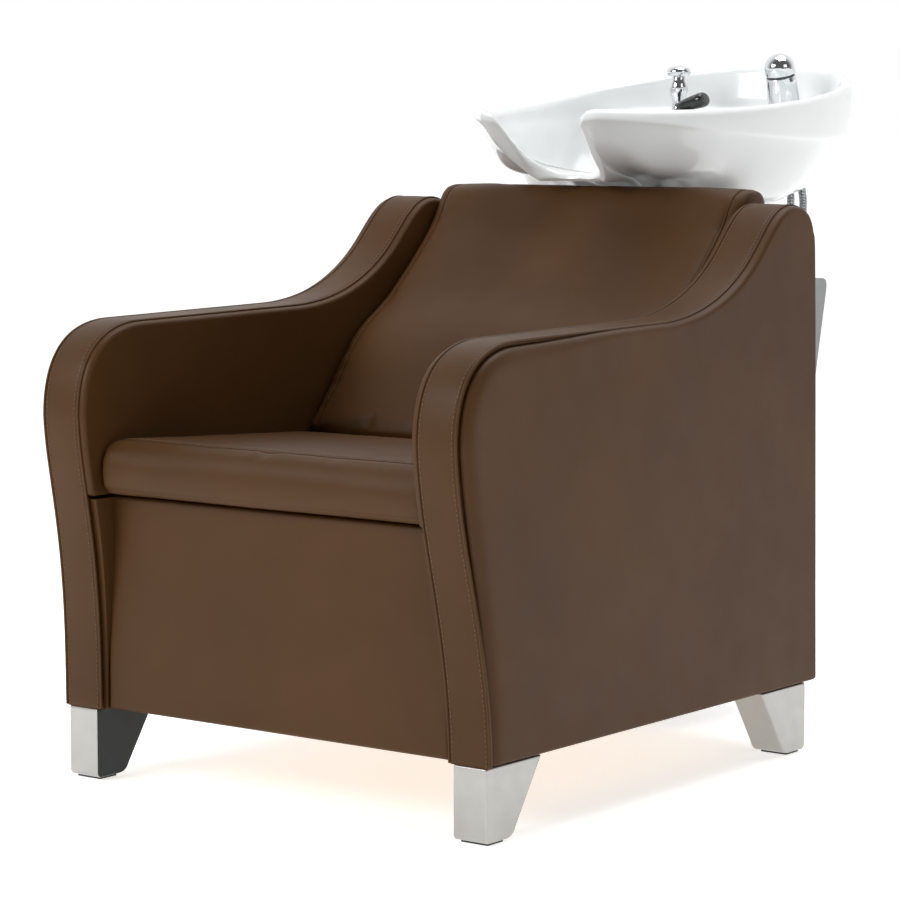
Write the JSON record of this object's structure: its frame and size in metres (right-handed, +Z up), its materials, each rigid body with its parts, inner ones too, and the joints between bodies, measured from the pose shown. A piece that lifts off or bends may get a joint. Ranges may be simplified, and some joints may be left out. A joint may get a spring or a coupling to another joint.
{
  "type": "shampoo backwash unit",
  "caption": "Upholstered salon shampoo armchair with a tilting ceramic washbowl behind its back, a mixer, a pull-out spray and a plumbing console with a service door.",
  "frame": {"origin": "on the floor, under the centre of the whole unit", "axes": "+X to the right of someone facing the bowl from the front of the chair, +Y from the chair front towards the bowl, +Z up"},
  "size_m": [0.72, 1.305, 0.9916],
  "materials": {
    "leather": "satin",
    "foam": "matte",
    "timber": "matte",
    "satin_aluminium": "satin",
    "painted_steel": "satin",
    "dark_steel": "satin",
    "chrome": "polished",
    "braided_steel": "satin",
    "ceramic": "gloss",
    "black_plastic": "gloss",
    "grey_plastic": "matte",
    "rubber": "matte"
  },
  "bodies": {
    "chair": {"arm_core_left": "foam", "arm_band_left": "leather", "outer_panel_left": "leather", "inner_panel_left": "leather", "leg_front_left": "satin_aluminium", "leg_rear_left": "satin_aluminium", "glide_front_left": "rubber", "glide_rear_left": "rubber", "gusset_left": "dark_steel", "arm_core_right": "foam", "arm_band_right": "leather", "outer_panel_right": "leather", "inner_panel_right": "leather", "leg_front_right": "satin_aluminium", "leg_rear_right": "satin_aluminium", "glide_front_right": "rubber", "glide_rear_right": "rubber", "gusset_right": "dark_steel", "seat_cushion": "leather", "back_cushion": "leather", "front_apron": "leather", "rear_panel": "leather", "seat_board": "timber", "seat_rail_front": "timber", "seat_rail_rear": "timber", "back_board": "timber", "base_board": "timber", "console_shell": "painted_steel", "mounting_plate": "dark_steel", "carrier_plate": "dark_steel", "pivot_stand": "dark_steel", "pivot_pin": "chrome", "valve_hot": "chrome", "valve_cold": "chrome", "waste_hose": "grey_plastic", "trap": "grey_plastic", "waste_pipe": "grey_plastic", "supply_hose_hot": "braided_steel", "supply_hose_cold": "braided_steel"},
    "bowl_assembly": {"bowl": "ceramic", "drain_flange": "chrome", "drain_nut": "chrome", "bowl_cradle": "dark_steel", "cradle_pad": "rubber", "breaker_body": "chrome", "breaker_cap": "chrome", "spray_holder": "chrome", "mixer_body": "chrome", "mixer_nut": "chrome", "link_hose": "braided_steel", "spray_hose": "braided_steel"},
    "mixer_carrier": {"mixer_ring": "chrome"},
    "mixer_handle": {"mixer_lever": "chrome"},
    "spray": {"spray_head": "black_plastic"},
    "strainer_cup": {"strainer": "chrome"},
    "tilt_lever": {"tilt_lock_lever": "black_plastic"},
    "door": {"console_door": "painted_steel"},
    "latch": {"door_latch": "chrome"},
    "hot_knob": {"valve_knob_hot": "black_plastic"},
    "cold_knob": {"valve_knob_cold": "black_plastic"}
  },
  "joints": [
    {"name": "bowl_tilt", "type": "hinge", "parent": "chair", "child": "bowl_assembly", "pos_m": [0, 0.2795, 0.715], "axis": [-1, 0, 0], "range_deg": [0, 12], "deforming": ["waste_hose", "supply_hose_hot", "supply_hose_cold"]},
    {"name": "tilt_lock", "type": "hinge", "parent": "chair", "child": "tilt_lever", "pos_m": [0.069, 0.2795, 0.715], "axis": [-1, 0, 0], "range_deg": [0, 30]},
    {"name": "mixer_swivel", "type": "hinge", "parent": "bowl_assembly", "child": "mixer_carrier", "pos_m": [0.091, 0.5215, 0.898], "axis": [0, -0.2588, 0.9659], "range_deg": [-45, 45]},
    {"name": "mixer_lift", "type": "hinge", "parent": "mixer_carrier", "child": "mixer_handle", "pos_m": [0.10532, 0.48658, 0.9549], "axis": [0.7986, 0.5813, 0.1558], "range_deg": [0, 20]},
    {"name": "spray_pull", "type": "slide", "parent": "bowl_assembly", "child": "spray", "axis": [0, 0, 1], "range_m": [0, 0.25], "deforming": ["spray_hose"]},
    {"name": "strainer_lift", "type": "slide", "parent": "bowl_assembly", "child": "strainer_cup", "axis": [0, 0, 1], "range_m": [0, 0.06]},
    {"name": "door_swing", "type": "hinge", "parent": "chair", "child": "door", "pos_m": [-0.118, 0.49334, 0.3483], "axis": [0, 0.2177, 0.976], "range_deg": [0, 110]},
    {"name": "latch_turn", "type": "hinge", "parent": "door", "child": "latch", "pos_m": [0.092, 0.49466, 0.36337], "axis": [0, 0.976, -0.2177], "range_deg": [0, 90]},
    {"name": "hot_valve_turn", "type": "hinge", "parent": "chair", "child": "hot_knob", "pos_m": [0.062, 0.4195, 0.45], "axis": [0, 1, 0], "range_deg": [0, 90]},
    {"name": "cold_valve_turn", "type": "hinge", "parent": "chair", "child": "cold_knob", "pos_m": [0.108, 0.4195, 0.45], "axis": [0, 1, 0], "range_deg": [0, 90]}
  ]
}
